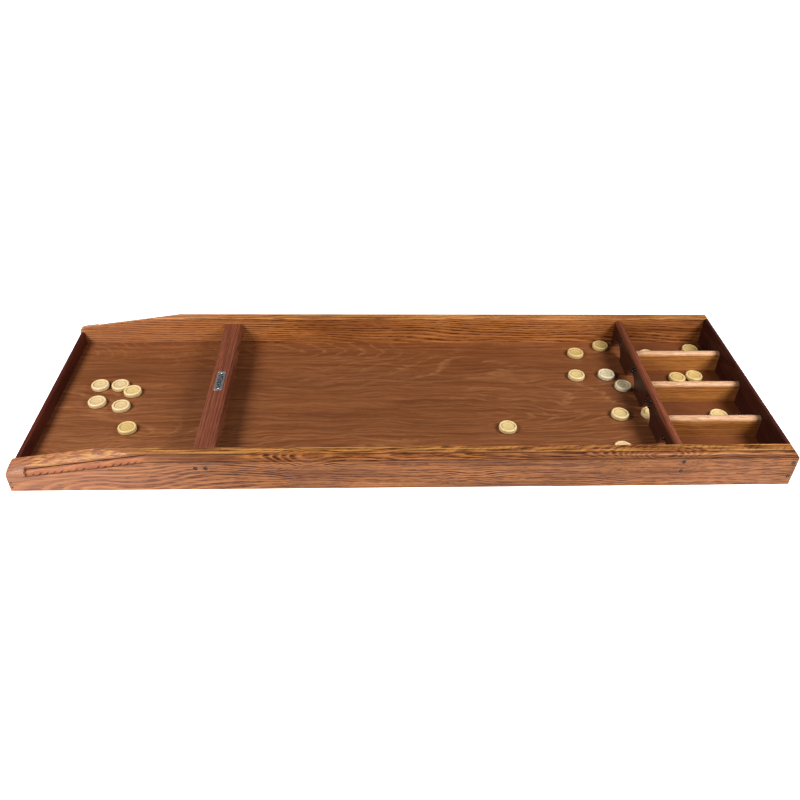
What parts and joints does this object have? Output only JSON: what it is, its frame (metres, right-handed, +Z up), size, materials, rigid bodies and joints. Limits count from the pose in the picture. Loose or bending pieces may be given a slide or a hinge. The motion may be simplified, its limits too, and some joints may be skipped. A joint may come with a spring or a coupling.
{
  "type": "tabletop shuffleboard",
  "caption": "Long shallow wooden tray with a start beam, a board of arched gates, divided scoring boxes behind them and loose turned wooden discs that slide along it.",
  "frame": {"origin": "centre of the tray's footprint, on the surface it stands on", "axes": "+X from the player's end to the gates, +Y to the player's left, +Z up"},
  "size_m": [1.2, 0.415, 0.064],
  "materials": {
    "rail_wood": "stained and varnished pine, satin",
    "dark_wood": "dark red-brown stained wood, satin",
    "floor_plywood": "stained plywood, waxed",
    "divider_wood": "stained and varnished, satin",
    "disc_wood": "turned pale hardwood, polished",
    "stud_metal": "blackened, semi-gloss",
    "plate_metal": "satin",
    "screw_steel": "dull zinc plated"
  },
  "bodies": {
    "tray": {"base_panel": "floor_plywood", "front_rail": "rail_wood", "back_rail": "rail_wood", "player_end_board": "dark_wood", "far_end_board": "dark_wood", "start_beam": "dark_wood", "name_plate": "plate_metal", "name_plate_pins": "plate_metal", "gate_board": "dark_wood", "scoring_studs_two": "stud_metal", "scoring_studs_three": "stud_metal", "scoring_studs_four": "stud_metal", "scoring_studs_one": "stud_metal", "divider_1": "divider_wood", "divider_2": "divider_wood", "divider_3": "divider_wood", "start_beam_screws": "screw_steel", "gate_board_screws": "screw_steel", "player_end_pins": "screw_steel", "far_end_screws": "screw_steel", "divider_screws": "screw_steel"},
    "disc_01": {"disc_01": "disc_wood"},
    "disc_02": {"disc_02": "disc_wood"},
    "disc_03": {"disc_03": "disc_wood"},
    "disc_04": {"disc_04": "disc_wood"},
    "disc_05": {"disc_05": "disc_wood"},
    "disc_06": {"disc_06": "disc_wood"},
    "disc_07": {"disc_07": "disc_wood"},
    "disc_08": {"disc_08": "disc_wood"},
    "disc_09": {"disc_09": "disc_wood"},
    "disc_10": {"disc_10": "disc_wood"},
    "disc_11": {"disc_11": "disc_wood"},
    "disc_12": {"disc_12": "disc_wood"},
    "disc_13": {"disc_13": "disc_wood"},
    "disc_14": {"disc_14": "disc_wood"},
    "disc_15": {"disc_15": "disc_wood"},
    "disc_16": {"disc_16": "disc_wood"},
    "disc_17": {"disc_17": "disc_wood"},
    "disc_18": {"disc_18": "disc_wood"},
    "disc_19": {"disc_19": "disc_wood"},
    "disc_20": {"disc_20": "disc_wood"}
  },
  "joints": [
    {"name": "disc_01_lift", "type": "slide", "parent": "tray", "child": "disc_01", "axis": [0, 0, 1], "range_m": [0, 0.08]},
    {"name": "disc_02_lift", "type": "slide", "parent": "tray", "child": "disc_02", "axis": [0, 0, 1], "range_m": [0, 0.08]},
    {"name": "disc_03_slide", "type": "slide", "parent": "tray", "child": "disc_03", "axis": [1, 0, 0], "range_m": [0, 0.7]},
    {"name": "disc_04_lift", "type": "slide", "parent": "tray", "child": "disc_04", "axis": [0, 0, 1], "range_m": [0, 0.08]},
    {"name": "disc_05_slide", "type": "slide", "parent": "tray", "child": "disc_05", "axis": [1, 0, 0], "range_m": [0, 0.795]},
    {"name": "disc_06_slide", "type": "slide", "parent": "tray", "child": "disc_06", "axis": [1, 0, 0], "range_m": [0, 0.58]},
    {"name": "disc_07_slide", "type": "slide", "parent": "tray", "child": "disc_07", "axis": [1, 0, 0], "range_m": [0, 0.21]},
    {"name": "disc_08_lift", "type": "slide", "parent": "tray", "child": "disc_08", "axis": [0, 0, 1], "range_m": [0, 0.08]},
    {"name": "disc_09_lift", "type": "slide", "parent": "tray", "child": "disc_09", "axis": [0, 0, 1], "range_m": [0, 0.08]},
    {"name": "disc_10_lift", "type": "slide", "parent": "tray", "child": "disc_10", "axis": [0, 0, 1], "range_m": [0, 0.08]},
    {"name": "disc_11_lift", "type": "slide", "parent": "tray", "child": "disc_11", "axis": [0, 0, 1], "range_m": [0, 0.08]},
    {"name": "disc_12_slide", "type": "slide", "parent": "tray", "child": "disc_12", "axis": [1, 0, 0], "range_m": [-0.12, 0]},
    {"name": "disc_13_lift", "type": "slide", "parent": "tray", "child": "disc_13", "axis": [0, 0, 1], "range_m": [0, 0.08]},
    {"name": "disc_14_slide", "type": "slide", "parent": "tray", "child": "disc_14", "axis": [1, 0, 0], "range_m": [-0.015, 0.078]},
    {"name": "disc_15_lift", "type": "slide", "parent": "tray", "child": "disc_15", "axis": [0, 0, 1], "range_m": [0, 0.08]},
    {"name": "disc_16_lift", "type": "slide", "parent": "tray", "child": "disc_16", "axis": [0, 0, 1], "range_m": [0, 0.08]},
    {"name": "disc_17_lift", "type": "slide", "parent": "tray", "child": "disc_17", "axis": [0, 0, 1], "range_m": [0, 0.08]},
    {"name": "disc_18_lift", "type": "slide", "parent": "tray", "child": "disc_18", "axis": [0, 0, 1], "range_m": [0, 0.08]},
    {"name": "disc_19_lift", "type": "slide", "parent": "tray", "child": "disc_19", "axis": [0, 0, 1], "range_m": [0, 0.08]},
    {"name": "disc_20_lift", "type": "slide", "parent": "tray", "child": "disc_20", "axis": [0, 0, 1], "range_m": [0, 0.08]}
  ]
}
